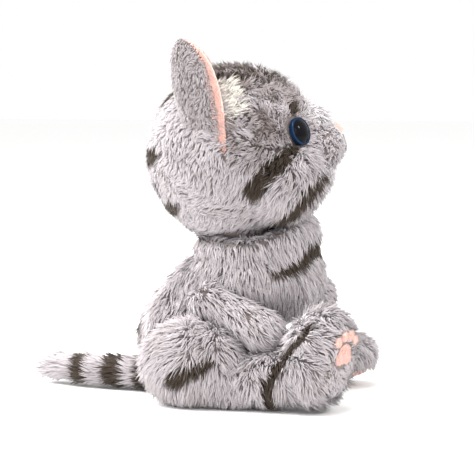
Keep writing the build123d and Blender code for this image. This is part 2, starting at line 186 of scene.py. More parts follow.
class Shader:
    """A new material with its Principled shader."""

    def __init__(self, name, **constants):
        self.material = bpy.data.materials.new(name)
        self.material.use_nodes = True
        self.tree = self.material.node_tree
        self.principled = self.tree.nodes["Principled BSDF"]
        for socket, value in constants.items():
            self.principled.inputs[socket.replace("_", " ")].default_value = value

    def node(self, kind, settings, *values, output=0):
        """Any node: its settings are set first, then the values or links of its sockets."""
        made = self.tree.nodes.new(kind)
        for key, value in settings.items():
            if key == "stops":
                set_stops(made.color_ramp, value)
            else:
                setattr(made, key, value)
        for socket, value in zip([s for s in made.inputs if s.enabled], values):
            self.feed(socket, value)
        return Socket(self, [s for s in made.outputs if s.enabled][output])

    def feed(self, socket, value):
        """Set a socket's value, or link it."""
        if isinstance(value, Socket):
            self.tree.links.new(value.value, socket)
        elif value is not None:
            size = len(socket.default_value) if hasattr(socket.default_value, "__len__") else 1
            socket.default_value = (*value, 1.0)[:size] if size > 1 else value

    def attribute(self, name):
        """A number stored on the piece's points."""
        return self.node("ShaderNodeAttribute", {"attribute_name": name}, output=2)

    def place(self):
        """The place on the piece, in metres."""
        return self.node("ShaderNodeTexCoord", {}, output=3)

    def noise(self, scale, detail=2.0, roughness=0.5):
        """Soft noise over the piece, from 0 to 1."""
        made = self.tree.nodes.new("ShaderNodeTexNoise")
        self.feed(made.inputs["Vector"], self.place())
        made.inputs["Scale"].default_value = scale
        made.inputs["Detail"].default_value = detail
        made.inputs["Roughness"].default_value = roughness
        return Socket(self, made.outputs[0])

    def ramp(self, value, *stops):
        """A colour ramp over a number, as a grey."""
        return self.node("ShaderNodeValToRGB", {"stops": stops}, value)

    def mix(self, factor, first, second, blend="MIX"):
        """Two colours mixed."""
        return self.node("ShaderNodeMix", {"data_type": "RGBA", "blend_type": blend}, factor, first, second)

    def to(self, socket, value):
        """Feed one of the Principled shader's sockets."""
        self.feed(self.principled.inputs[socket], value)


def set_stops(color_ramp, stops):
    """Set a ramp's stops from places and greys or colours."""
    while len(color_ramp.elements) > 1:
        color_ramp.elements.remove(color_ramp.elements[-1])
    for index, (place, colour) in enumerate(stops):
        element = color_ramp.elements[0] if index == 0 else color_ramp.elements.new(place)
        element.position = place
        level = (colour,) * 3 if isinstance(colour, (int, float)) else colour
        element.color = (*level, 1.0)


# ---------------------------------------------------------------- materials

# painted shade deep in the pile: the colour at the root of a lock, as a share of that at its tip
FUR_ROOT_SHADE = 0.42
made_materials = {}


def once(maker):
    """Make a material the first time it is asked for."""
    def find():
        if maker.__name__ not in made_materials:
            made_materials[maker.__name__] = maker()
        return made_materials[maker.__name__]
    return find


@once
def tabby_pile():
    """Long pile: mottled grey, dark stripes where the cloth is printed, and painted shade that darkens it
    towards the roots.
    """
    colour = colours()
    shader = Shader("tabby_pile", Roughness=0.85, Sheen_Weight=0.16, Sheen_Roughness=0.45,
                    Specular_IOR_Level=0.18)
    patches = shader.ramp(shader.noise(85.0, 3.0, 0.6), (0.36, 0.0), (0.64, 1.0))
    grey = shader.mix(patches * shader.attribute("mottle"), colour.cool, colour.warm)
    # the pale marks hold painted highlight on the back's ridges and painted rim light on the feet, as well as
    # the pale parts of the pile
    grey = shader.mix(shader.attribute("pale"), grey, colour.pale)
    striped = shader.mix(shader.attribute("tone"), grey, colour.stripe)
    # painted shade: each lock is darkened from its tip down to its root, where the locks shade each other
    depth = shader.ramp(shader.attribute("along"), (0.0, FUR_ROOT_SHADE), (0.45, 0.8), (1.0, 1.0))
    shaded = shader.mix(1.0, striped, depth, "MULTIPLY")
    level = shader.ramp(shader.attribute("vary"), (0.0, 0.74), (0.5, 0.94), (1.0, 1.0))
    shader.to("Base Color", shader.mix(1.0, shaded, level, "MULTIPLY"))
    return shader.material


@once
def ground_cloth():
    """The knitted backing between the roots of the pile."""
    colour = colours()
    shader = Shader("ground_cloth", Roughness=0.95, Sheen_Weight=0.2)
    stitches = shader.noise(900.0, 1.0)
    grey = shader.mix(stitches, [c * 0.45 for c in colour.warm], [c * 0.75 for c in colour.warm])
    # the pale marks hold painted highlight on the back's ridges and painted rim light on the feet, as well as
    # the pale parts of the cloth
    grey = shader.mix(shader.attribute("pale"), grey, [c * 0.7 for c in colour.pale])
    shader.to("Base Color", shader.mix(shader.attribute("tone"), grey, colour.stripe))
    return shader.material


def tinted_pile(name, tint, root):
    """Pile of one colour, with painted shade that darkens it towards its roots."""
    shader = Shader(name, Roughness=0.85, Sheen_Weight=0.3, Sheen_Roughness=0.4, Specular_IOR_Level=0.2)
    # painted shade: root is the colour at a lock's root, as a share of that at its tip
    depth = shader.ramp(shader.attribute("along"), (0.0, root), (0.6, 0.92), (1.0, 1.0))
    level = shader.ramp(shader.attribute("vary"), (0.0, 0.86), (1.0, 1.0))
    shaded = shader.mix(1.0, shader.mix(1.0, list(tint), depth, "MULTIPLY"), level, "MULTIPLY")
    shader.to("Base Color", shaded)
    return shader.material


@once
def pink_pile():
    """Short pink velour."""
    return tinted_pile("pink_pile", colours().pink, 0.72)


@once
def cream_pile():
    """Long cream tufts."""
    return tinted_pile("cream_pile", colours().cream, 0.8)


@once
def pink_velour():
    """The ground of the pink cloth."""
    shader = Shader("pink_velour", Roughness=0.9, Sheen_Weight=0.4, Sheen_Roughness=0.35)
    nap = shader.noise(1400.0, 2.0)
    pink = colours().pink
    shader.to("Base Color", shader.mix(nap, [c * 0.82 for c in pink], list(pink)))
    bump = shader.node("ShaderNodeBump", {}, 0.25, 0.0003, None, nap)
    shader.to("Normal", bump)
    return shader.material


@once
def black_gloss():
    """Polished black plastic of a pupil."""
    shader = Shader("black_gloss", Roughness=0.02, IOR=1.15)
    haze = shader.noise(60.0, 2.0)
    shader.to("Base Color", shader.mix(haze, (0.003, 0.003, 0.004), (0.007, 0.007, 0.009)))
    return shader.material


@once
def blue_gloss():
    """Blue plastic of an eye's rim, darker in its depth."""
    shader = Shader("blue_gloss", Roughness=0.12, IOR=1.2)
    depth = shader.noise(300.0, 3.0)
    iris = colours().iris
    shader.to("Base Color", shader.mix(depth, [c * 0.5 for c in iris], [c * 1.6 for c in iris]))
    return shader.material


@once
def plain_inside():
    """White fibre, cloth and plastic inside the cat."""
    shader = Shader("plain_inside", Roughness=0.9)
    fibres = shader.noise(700.0, 4.0, 0.7)
    shader.to("Base Color", shader.mix(fibres, (0.70, 0.70, 0.68), (0.90, 0.90, 0.88)))
    return shader.material


@once
def mouth_thread():
    """Dark stranded thread."""
    shader = Shader("mouth_thread", Roughness=0.7, Sheen_Weight=0.3)
    twist = shader.noise(2200.0, 1.0)
    shader.to("Base Color", shader.mix(twist, (0.05, 0.035, 0.03), (0.14, 0.10, 0.09)))
    return shader.material


# ---------------------------------------------------------------- skins

def clear_selection():
    """Leave nothing selected."""
    if bpy.context.object and bpy.context.object.mode != "OBJECT":
        bpy.ops.object.mode_set(mode="OBJECT")
    bpy.ops.object.select_all(action="DESELECT")


def apply_modifiers(piece):
    """Apply every modifier of a piece."""
    clear_selection()
    bpy.context.view_layer.objects.active = piece
    piece.select_set(True)
    for modifier in list(piece.modifiers):
        bpy.ops.object.modifier_apply(modifier=modifier.name)


def ball(centre, radii, axes=None):
    """A ball or an egg, as a primitive at its place."""
    clear_selection()
    bpy.ops.mesh.primitive_uv_sphere_add(segments=36, ring_count=24, radius=1.0)
    made = bpy.context.object
    size = np.broadcast_to(np.asarray(radii, float), (3,))
    turn = np.eye(3) if axes is None else np.asarray(axes).T
    shape = turn @ np.diag(size)
    place = Matrix([[*shape[row], centre[row]] for row in range(3)] + [[0, 0, 0, 1]])
    made.data.transform(place)
    return made


def chain(stops, step=2.5):
    """Balls close together along straight runs between stops of (place, radius)."""
    balls = []
    for (start, start_r), (end, end_r) in zip(stops, stops[1:]):
        start, end = np.asarray(start, float), np.asarray(end, float)
        count = max(2, int(np.linalg.norm(end - start) / step))
        for part in np.linspace(0, 1, count):
            balls.append((start + (end - start) * part, start_r + (end_r - start_r) * part))
    return balls


def padded_skin(name, balls, cell=1.8, smooth=8):
    """One closed skin round all the balls, in millimetres: each is (place, radii[, axes])."""
    parts = [ball(*part) for part in balls]
    clear_selection()
    for part in parts:
        part.select_set(True)
    bpy.context.view_layer.objects.active = parts[0]
    if len(parts) > 1:
        bpy.ops.object.join()
    skin = bpy.context.object
    skin.name = name
    skin.data.name = name
    remesh = skin.modifiers.new("cells", "REMESH")
    remesh.mode = "VOXEL"
    remesh.voxel_size = cell
    soften = skin.modifiers.new("soften", "SMOOTH")
    soften.factor = 0.6
    soften.iterations = smooth
    apply_modifiers(skin)
    return skin


def points_of(skin):
    """A skin's points as an array."""
    points = np.empty(len(skin.data.vertices) * 3)
    skin.data.vertices.foreach_get("co", points)
    return points.reshape(-1, 3)


def set_points(skin, points):
    """Move a skin's points."""
    skin.data.vertices.foreach_set("co", np.ascontiguousarray(points, float).ravel())
    skin.data.update()


def keep_off_ball(skin, centre, radius):
    """Press a skin out of a ball, so that it lies round it like a bowl."""
    points = points_of(skin)
    arm = points - centre
    reach = np.linalg.norm(arm, axis=1)
    inside = reach < radius
    points[inside] = centre + arm[inside] * (radius / reach[inside])[:, None]
    set_points(skin, points)


def hollow_under_head(skin, radius, sideways=0.42):
    """Press a skin down and back out of an egg round the head, longest from cheek to cheek."""
    points = points_of(skin)
    arm = points - HEAD
    left = arm @ HEAD_LEFT
    flat = arm - left[:, None] * HEAD_LEFT
    reach = np.linalg.norm(flat, axis=1)
    needed = np.sqrt(np.maximum(radius ** 2 - (left * sideways) ** 2, 0))
    inside = reach < needed
    pushed = HEAD + left[:, None] * HEAD_LEFT + flat * (needed / np.maximum(reach, 1e-6))[:, None]
    points[inside] = pushed[inside]
    set_points(skin, points)


def sit_on_floor(skin, height=0.8):
    """Flatten a skin where it rests."""
    points = points_of(skin)
    points[:, 2] = np.where(points[:, 2] < height, height + (points[:, 2] - height) * 0.02, points[:, 2])
    set_points(skin, points)


def store(mesh, name, values):
    """Keep a number on every point of a mesh."""
    layer = mesh.attributes.new(name, "FLOAT", "POINT")
    layer.data.foreach_set("value", np.ascontiguousarray(values, np.float32))


def place_skin(skin, body, material, paint=None):
    """Finish a skin: smooth, coloured, in metres and riding on its body."""
    points = points_of(skin)
    marks = paint(points) if paint else {}
    for name in ("tone", "pale"):
        store(skin.data, name, marks.get(name, np.zeros(len(points))))
    skin.data.materials.clear()
    skin.data.materials.append(material)
    skin.data.polygons.foreach_set("use_smooth", [True] * len(skin.data.polygons))
    skin.data.transform(Matrix.Scale(MM, 4))
    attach(skin, body)
    return skin


def padded_piece(skin, body, replaced, paint=None):
    """Finish a skin over padding, which stands for some of the frame's nodes."""
    place_skin(skin, body, ground_cloth(), paint)
    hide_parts(*replaced)


def sewn_piece(skin, body, material, replaced):
    """Finish a thin piece of cloth, which stands for one of the frame's nodes."""
    place_skin(skin, body, material)
    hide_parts(replaced)


# ---------------------------------------------------------------- pile

LOCK_RING = 3             # sides of a lock
LOCK_POINTS = 2 * LOCK_RING + 1
LOCK_TAPER = 0.82         # width of a lock at its bend, as a share of that at its root
LOWER_SHARE = 0.42        # length below the bend, as a share of the pile's length
UPPER_SHARE = 0.62        # length above the bend
CLUMP_SIZE = 9            # locks in a clump
SWIRL_SIZE = 9.0          # over this distance the pile strays the same way, mm
ROOT_SUNK = 0.9           # how far a lock's root is sunk in its skin, mm
FLOOR_ROOM = 0.35         # no pile goes lower, mm


def unit(vectors):
    """Vectors at length one."""
    return vectors / np.maximum(np.linalg.norm(vectors, axis=-1, keepdims=True), 1e-9)


def smooth_step(low, high, values):
    """From 0 at low to 1 at high, softly."""
    part = np.clip((values - low) / (high - low), 0, 1)
    return part * part * (3 - 2 * part)


def swirl(points, scale, seed):
    """A soft random direction at every point, alike over a distance of scale."""
    rng = np.random.default_rng(seed)
    waves = rng.normal(size=(3, 4, 3)) / scale
    phases = rng.uniform(0, 2 * math.pi, size=(3, 4))
    return np.stack([np.sin(points @ waves[axis].T * 2.2 + phases[axis]).sum(1) for axis in range(3)], 1) / 2


def steady(direction):
    """A comb that runs one way everywhere."""
    return lambda points: np.broadcast_to(direction, points.shape)


def surface(skin):
    """Points, triangles and point normals of a finished skin, in millimetres."""
    mesh = skin.data
    mesh.calc_loop_triangles()
    triangles = np.empty(len(mesh.loop_triangles) * 3, np.int64)
    mesh.loop_triangles.foreach_get("vertices", triangles)
    normals = np.empty(len(mesh.vertices) * 3)
    mesh.vertices.foreach_get("normal", normals)
    return points_of(skin) / MM, triangles.reshape(-1, 3), normals.reshape(-1, 3)


def scatter(ground, closeness, rng):
    """Random places on a ground, as many to a square millimetre as closeness says, with normals."""
    points, triangles, normals = ground
    corners = points[triangles]
    sizes = np.linalg.norm(np.cross(corners[:, 1] - corners[:, 0], corners[:, 2] - corners[:, 0]), axis=1) / 2
    count = int(sizes.sum() * closeness)
    chosen = rng.choice(len(triangles), count, p=sizes / sizes.sum())
    weights = rng.random((count, 2))
    folded = weights.sum(1) > 1
    weights[folded] = 1 - weights[folded]
    weights = np.column_stack((1 - weights.sum(1), weights))
    places = (corners[chosen] * weights[:, :, None]).sum(1)
    outward = unit((normals[triangles[chosen]] * weights[:, :, None]).sum(1))
    return places, outward


def nearest(places, centres):
    """For every place, which centre is nearest."""
    tree = kdtree.KDTree(len(centres))
    for index, centre in enumerate(centres):
        tree.insert(centre, index)
    tree.balance()
    return np.fromiter((tree.find(place)[1] for place in places), np.int64, len(places))


def at_places(value, places):
    """A number, or a function of places, as a number at each place."""
    return value(places) if callable(value) else np.full(len(places), float(value))


def lock_corners(low, middle, tip, normals, width, rng):
    """Corners of tapered locks through three places each, and the normals they are shaded with."""
    count = len(low)
    along = unit(tip - low)
    side = unit(np.cross(along, unit(rng.normal(size=(count, 3)))))
    other = np.cross(along, side)
    radii = width / 2 * np.clip(rng.normal(1, 0.18, count), 0.5, 1.5)
    corners = np.empty((count, LOCK_POINTS, 3))
    shading = np.empty_like(corners)
    for corner in range(LOCK_RING):
        angle = 2 * math.pi * corner / LOCK_RING
        round_it = side * math.cos(angle) + other * math.sin(angle)
        corners[:, corner] = low + round_it * radii[:, None]
        corners[:, LOCK_RING + corner] = middle + round_it * (radii * LOCK_TAPER)[:, None]
        shading[:, corner] = shading[:, LOCK_RING + corner] = unit(normals * 0.6 + round_it * 0.6)
    corners[:, -1] = tip
    shading[:, -1] = unit(normals * 0.7 + along * 0.3)
    corners[:, :, 2] = np.maximum(corners[:, :, 2], FLOOR_ROOM * 0.6)
    return corners, shading


def lock_values(marks, mottle, owner, clumps, rng):
    """The numbers that the pile's shader reads, on every corner of every lock."""
    count = len(owner)
    per_lock = {
        "vary": rng.random(count) * 0.6 + rng.random(clumps)[owner] * 0.4,
        "mottle": marks.get("mottle", np.full(count, mottle)),
    }
    for key in ("tone", "pale"):
        mark = marks.get(key, np.zeros(count))
        per_lock[key] = np.clip(mark * 1.25 - 0.12 + rng.normal(0, 0.12, count) * (mark > 0.02), 0, 1)
    heights = [0.0] * LOCK_RING + [0.45] * LOCK_RING + [1.0]
    return {"along": np.tile(heights, count),
            **{key: np.repeat(value, LOCK_POINTS) for key, value in per_lock.items()}}


def grow(name, ground, body, material, length, comb, lean=0.62, closeness=1.0, width=1.0, paint=None,
         keep=None, clump=0.45, ruffle=0.35, droop=0.12, mottle=0.4, seed=0):
    """Pile on a ground, as one mesh of tapered locks that lean along the comb and gather in clumps."""
    settings = pile()
    rng = np.random.default_rng(settings.seed + seed)
    roots, normals = scatter(ground, settings.closeness * closeness, rng)
    if keep is not None:
        kept = keep(roots)
        roots, normals = roots[kept], normals[kept]
    count = len(roots)
    lengths = at_places(length, roots) * np.clip(rng.normal(1.0, 0.16, count), 0.55, 1.4)
    combed = comb(roots) + swirl(roots, SWIRL_SIZE, seed + 11) * ruffle
    combed = unit(combed - normals * (combed * normals).sum(1, keepdims=True))
    leans = np.clip(at_places(lean, roots), 0, 0.95)[:, None]

    centres = rng.choice(count, count // CLUMP_SIZE, replace=False)
    owner = nearest(roots, roots[centres])
    stray = unit(rng.normal(size=(len(centres), 3)))[owner] * ruffle * 0.55
    stray = stray + unit(rng.normal(size=(count, 3))) * 0.16
    first = unit(normals * (1 - leans * 0.75) + combed * leans * 0.75 + stray * 0.6)
    second = unit(normals * (1 - leans) + combed * leans * 1.15 + stray - (0, 0, droop))
    low = roots - normals * ROOT_SUNK
    middle = roots + first * (lengths * LOWER_SHARE)[:, None]
    tip = middle + second * (lengths * UPPER_SHARE)[:, None]
    gather = (roots[centres][owner] - roots) * 0.72
    middle = middle + gather * clump * 0.45
    tip = tip + gather * clump * 1.25
    for places in (low, middle, tip):
        places[:, 2] = np.maximum(places[:, 2], FLOOR_ROOM)

    corners, shading = lock_corners(low, middle, tip, normals, settings.lock_width * width, rng)
    marks = paint(roots + combed * (lengths * leans[:, 0] * 0.35)[:, None]) if paint else {}
    values = lock_values(marks, mottle, owner, len(centres), rng)
    lock_mesh(name, corners, shading, values, body, material)


def lock_mesh(name, corners, shading, values, body, material):
    """Put the locks together as one mesh, each closed at its root, with a small own cell of the UV map."""
    count = len(corners)
    ring = range(LOCK_RING)
    sides = [(corner, (corner + 1) % LOCK_RING) for corner in ring]
    quads = [(here, there, LOCK_RING + there, LOCK_RING + here) for here, there in sides]
    fans = [(LOCK_RING + here, LOCK_RING + there, 2 * LOCK_RING) for here, there in sides]
    faces = quads + fans + [tuple(reversed(ring))]
    sizes = np.tile([len(face) for face in faces], count)
    pattern = np.array([corner for face in faces for corner in face])
    loops = (pattern[None, :] + np.arange(count)[:, None] * LOCK_POINTS).ravel()
    mesh = bpy.data.meshes.new(name)
    mesh.vertices.add(count * LOCK_POINTS)
    mesh.vertices.foreach_set("co", (corners * MM).ravel())
    mesh.loops.add(len(loops))
    mesh.loops.foreach_set("vertex_index", loops)
    mesh.polygons.add(len(sizes))
    mesh.polygons.foreach_set("loop_start", np.concatenate(([0], np.cumsum(sizes)[:-1])))
    mesh.polygons.foreach_set("use_smooth", [True] * len(sizes))
    mesh.update(calc_edges=True)
    for key, value in values.items():
        store(mesh, key, value)
    cells = math.ceil(math.sqrt(count))
    margin, inner = 0.12, 0.76        # of a cell
    spots = []
    for face in faces:
        for corner in face:
            turn = (corner % LOCK_RING if corner < 2 * LOCK_RING else 0.5) / LOCK_RING
            rise = 0.0 if corner < LOCK_RING else (0.5 if corner < 2 * LOCK_RING else 1.0)
            spots.append((margin + inner * turn, margin + inner * rise))
    cell = np.column_stack((np.arange(count) % cells, np.arange(count) // cells))
    spread = (cell[:, None, :] + np.array(spots)[None]) / cells
    mesh.uv_layers.new(name="OFBake").data.foreach_set("uv", spread.ravel())
    mesh.normals_split_custom_set_from_vertices(shading.reshape(-1, 3))
    mesh.materials.append(material)
    made = bpy.data.objects.new(name, mesh)
    bpy.context.scene.collection.objects.link(made)
    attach(made, body)


# ---------------------------------------------------------------- the printed pattern

def line_mark(points, line, widths, soft=1.0):
    """Marks near a line through flat points: 1 on it, 0 past its half width, which changes along it."""
    best = np.full(len(points), 9.0)
    for (start, end), (first, last) in zip(zip(line, line[1:]), zip(widths, widths[1:])):
        start, end = np.array(start, float), np.array(end, float)
        run = end - start
        part = np.clip((points - start) @ run / (run @ run), 0, 1)
        gap = np.linalg.norm(points - start - part[:, None] * run, axis=1)
        best = np.minimum(best, gap - (first + (last - first) * part))
    return 1 - smooth_step(-soft, soft, best)


def egg_mark(points, centre, radii, soft=0.25):
    """Marks inside an egg: 1 in it, 0 outside."""
    reach = np.linalg.norm((points - np.array(centre)) / np.array(radii), axis=1)
    return 1 - smooth_step(1 - soft, 1 + soft, reach)


def band_mark(offsets, half, soft):
    """Marks where an offset is within a half width: 1 in it, 0 outside."""
    return 1 - smooth_step(half - soft, half + soft, np.abs(offsets))


def most(*marks):
    """The strongest of several marks."""
    return np.max(np.stack(marks), axis=0)


# stripes seen from the side, as places (forward, up) of the head's centre
CHEEK_STRIPE = ((26.5, -5.5), (14.5, -11.0), (3.0, -16.0))
CHIN_STRIPE = ((32.0, -22.0), (17.0, -31.0), (2.0, -38.0))


def head_marks(points):
    """Stripes of the cheeks, chin, crown and nape, and the pale brow and muzzle edge."""
    left, back, up = in_head(points).T
    flat = np.column_stack((-back, up))
    across = np.column_stack((np.abs(left), up))
    beside = smooth_step(8, 14, np.abs(left))
    cheek = line_mark(flat, CHEEK_STRIPE, (2.4, 4.2, 5.0)) * beside
    chin = line_mark(flat, CHIN_STRIPE, (1.6, 2.4, 1.8), 0.8) * smooth_step(4, 9, np.abs(left))
    on_top = smooth_step(14, 20, up) * smooth_step(-14, -8, -back)
    patchy = smooth_step(-0.9, 0.5, swirl(points, 9.0, 3)[:, 0] + 0.35)
    crown = most(band_mark(left, 4.3, 0.9), band_mark(np.abs(left) - 10.0, 3.1, 0.7),
                 line_mark(across, ((18.0, 38.0), (19.0, 30.0), (15.0, 20.0)), (2.8, 2.4, 1.4)))
    crown = crown * on_top * (1 - smooth_step(27, 34, -back)) * (0.75 + 0.25 * patchy)
    where = np.column_stack((left, back, up))
    nape = most(egg_mark(where, (0, 36, 12), (24, 9, 4.6)), egg_mark(where, (0, 36, -13), (24, 9, 4.4)),
                egg_mark(where, (0, 21, 37), (12, 7, 6)))
    brow = egg_mark(np.column_stack((np.abs(left), back, up)), (20.5, -31.5, 11.0), (3.2, 5, 3.4))
    pale = most(egg_mark(where, (0, -40, 6), (17, 13, 8), 0.4),
                egg_mark(where, (0, -34, -26), (14, 12, 8), 0.4) * 0.7)
    rear = smooth_step(8, 34, back) * 0.25
    forehead = smooth_step(-12, 6, up) * smooth_step(6, -4, back) * (1 - smooth_step(34, 42, -back))
    return {"tone": most(cheek, chin, crown, nape, brow), "pale": most(pale, rear),
            "mottle": 0.22 + 0.78 * forehead}


CHEST_MIDDLE_Y = HEAD[1] - 10
BACK_BANDS = (18, 36, 55)             # heights of the dark bands on the back
TAIL_RINGS = ((-1.5, 5.0), (16.0, 5.2), (34.0, 4.0))      # (distance from the root, half width)


def torso_marks(points):
    """The chest band, the bands across the back, the dark nape, partly a stripe and partly painted shade
    under the head, and the pale ridges, which are painted highlight.
    """
    x, y, z = points.T
    turn = np.degrees(np.arctan2(np.abs(x), CHEST_MIDDLE_Y - y))      # from straight ahead
    height = 71.5 - 9.5 * smooth_step(5, 58, turn)
    half = 4.2 - 2.9 * smooth_step(22, 70, turn)
    chest = band_mark(z - height, half, 0.8) * (1 - smooth_step(60, 70, turn))
    behind = smooth_step(HEAD[1] + 14, HEAD[1] + 22, y) * (1 - smooth_step(11, 17, np.abs(x)))
    bands = most(*[band_mark(z - band + np.abs(x) * 0.25, 3.6, 1.0) for band in BACK_BANDS])
    # partly painted shade: the dark nape hugs the bowl under the head, so it darkens the torso where the head
    # shades it as well as marking a stripe there
    level_back = (points - HEAD) @ HEAD_LEVEL_BACK
    under = np.hypot(level_back, z - HEAD[2])
    nape = (1 - smooth_step(43.5, 46.5, under)) * smooth_step(12, 20, level_back)
    # painted highlight: the ridges down the back are paled, and cleared of stripes, where the rim light
    # catches them
    ridge_x, _, ridge_z = np.array(BACK_RIDGE[::-1], float).T
    ridge = band_mark(np.abs(x) - np.interp(z, ridge_z, ridge_x), 2.25, 1.25)
    ridge = ridge * smooth_step(HEAD[1] + 10, HEAD[1] + 18, y)
    return {"tone": most(chest, bands * behind * (1 - ridge), nape), "pale": ridge}


def leg_marks(side):
    """The thigh's slanting stripe, the ankle's ring, partly a stripe and partly painted shade over the hollow
    between the paw and the ankle, and painted rim light on the top of the foot, of one leg.
    """
    pad, _, _, outward = SOLES[side]

    def marks(points):
        flat = points[:, 1:]
        outside = smooth_step(38, 44, np.abs(points[:, 0]))
        thigh = line_mark(flat, ((-19.0, 22.5), (-3.5, 14.5)), (2.2, 3.6)) * outside
        # partly painted shade: the ankle's ring is a stripe, widened and carried up the ankle over the dark
        # hollow between the paw and the ankle
        ring_y = pad[1] + RING_BACK[side] - np.maximum(points[:, 2] - 14, 0) * 0.8
        half = 2.9 - 1.1 * smooth_step(14, 30, points[:, 2])
        ring = band_mark(points[:, 1] - ring_y, half, 0.9) * (1 - smooth_step(39, 43, points[:, 2]))
        # painted light: the top of the foot is paled where the rim light falls on it
        depth = (points - pad) @ outward
        lit_instep = smooth_step(-26, -18, depth) * (1 - smooth_step(-7, -3, depth))
        return {"tone": most(thigh, ring), "pale": lit_instep * 0.2}
    return marks


def tail_marks(points):
    """Rings round the tail."""
    along = points[:, 1] - TAIL_ROOT[1]
    rings = [band_mark(along - middle, half, 1.2) for middle, half in TAIL_RINGS]
    return {"tone": most(*rings), "pale": smooth_step(40, 55, along) * 0.5}


# ---------------------------------------------------------------- pieces

def inset_end(node, start, inset):
    """The middle of a limb's round end: the farthest place of its node from start, drawn in."""
    points = node_points(node)
    arms = points - start
    far = arms[np.argmax(np.linalg.norm(arms, axis=1))]
    return start + far * (1 - inset / np.linalg.norm(far))


SOLES = {side: flat_frame(f"{side}_paw_pad") for side in SIDES}
SHOULDERS = {side: joint_place(f"{side}_arm_swing") for side in SIDES}
PAWS = {side: inset_end(f"{side}_arm_stuffing", SHOULDERS[side], 8) for side in SIDES}
FOOT_DEPTHS = {"right": 23.0, "left": 17.0}      # from the sole to the ankle
RING_BACK = {"right": 34.0, "left": 28.0}        # from the pad of the sole back to the ankle's ring
SOLE_DROP = 3.0           # the middle of a sole lies this far under the middle of its pad
# the ridge down each side of the back, as places on the left side
BACK_RIDGE = ((6, -7, 68), (13, 8, 54), (20, 14, 41), (22, 15, 29), (21, 13.5, 14))
BOWL_R = 43.2             # the torso lies round the head at this radius


class PLUSH_OT_torso(bpy.types.Operator):
    """Torso and neck: chest, back and seat in one padded skin, pressed to a bowl under the head"""
    bl_idname = "plush.torso"
    bl_label = "Torso"

    def execute(self, context):
        skin = padded_skin("torso_skin", [
            ((0, CHEST_MIDDLE_Y, 75), (29, 27.5, 24)),
            ((0, CHEST_MIDDLE_Y - 1, 58), (29.5, 29, 22)),
            ((0, CHEST_MIDDLE_Y + 21, 45), (23, 21, 22)),
            (HIPS, (29, 28.5, 28)),
            *(part for sign in SIDES.values() for part in chain(
                [((sign * x, y - 2.2, z), 4.6) for x, y, z in BACK_RIDGE])),
        ])
        hollow_under_head(skin, BOWL_R)
        sit_on_floor(skin)
        padded_piece(skin, "torso",
                     ("torso_back_left", "torso_back_right", "torso_belly", "torso_seat", "torso_stuffing"),
                     torso_marks)

        def comb(points):
            x, y, z = points.T
            return np.column_stack((x * 0.012, -0.45 * smooth_step(10, -15, y), np.full(len(z), -1.0)))

        def clear(points):
            return (np.linalg.norm(points - HEAD, axis=1) > BOWL_R + 0.6) & (points[:, 2] > 1.5)

        halves = {
            "chest_pile": lambda p: clear(p) & (p[:, 1] <= CHEST_MIDDLE_Y + 14),
            "back_pile": lambda p: clear(p) & (p[:, 1] > CHEST_MIDDLE_Y + 14),
        }
        for index, (name, half) in enumerate(halves.items()):
            grow(name, surface(skin), "torso", tabby_pile(), pile().body_length, comb, lean=0.72,
                 paint=torso_marks, mottle=0.25, keep=half, seed=1 + index)
        neck = padded_skin("neck_pad", [((0, HEAD[1] - 3, 80), (22, 20, 7))])
        keep_off_ball(neck, HEAD, 41.6)
        padded_piece(neck, "neck", ("neck_wadding",))
        return {"FINISHED"}


EYES = [node_middle(f"{side}_eye_rim") for side in SIDES]
NOSE = node_middle("nose")
SOCKET_R = 37.8           # round an eye the head's skin is pressed to this radius
GUSSET_HALF = 14.0        # half the width of the top gusset


def off_eyes(points):
    """How far places are from the nearer eye."""
    return np.min([np.linalg.norm(points - eye, axis=1) for eye in EYES], axis=0)


def head_length(points):
    """The pile of the head: long on the cheeks, short on the muzzle, at the nape and round the eyes."""
    left, back, up = in_head(points).T
    muzzle = egg_mark(in_head(points), (0, -44, -11), (19, 12, 13), 0.3)
    cheek = egg_mark(np.column_stack((np.abs(left), back, up)), (30, -14, -17), (18, 22, 17), 0.4)
    grown = pile().head_length * (1 + 0.55 * cheek - 0.25 * smooth_step(0, 18, back))
    grown = grown * (1 - muzzle) + pile().short_length * 1.1 * muzzle
    return grown * (0.45 + 0.55 * smooth_step(7.5, 14, off_eyes(points)))


def head_lean(points):
    """The pile of the head lies flatter behind and below."""
    _, back, up = in_head(points).T
    return 0.5 + 0.2 * smooth_step(-5, 15, back) + 0.12 * smooth_step(0, -20, up)


def head_comb(points):
    """The pile of the head runs back and down, curls before the ears and parts round the eyes."""
    left, back, up = in_head(points).T
    curls = egg_mark(np.column_stack((np.abs(left), back, up)), (22, -14, 18), (22, 22, 20), 0.5)[:, None]
    flow = HEAD_BACK * 0.8 - HEAD_UP * 0.55 + np.sign(left)[:, None] * HEAD_LEFT * 0.25
    flow = flow * (1 - 0.6 * curls) + swirl(points, 4.0, 5) * curls
    for eye in EYES:
        away = points - eye
        near = (1 - smooth_step(9, 17, np.linalg.norm(away, axis=1)))[:, None]
        flow = flow * (1 - near) + unit(away) * near
    return flow


def off_face(points):
    """Places of the head clear of the eyes, the nose and the lips of the ears."""
    lips = np.concatenate([ear_grid(sign)[:12, -1] for sign in SIDES.values()])
    off_ears = np.min([np.linalg.norm(points - lip, axis=1) for lip in lips], axis=0) > 2.0
    return (off_eyes(points) > 7.3) & off_ears & (np.linalg.norm(points - NOSE, axis=1) > 1.6)


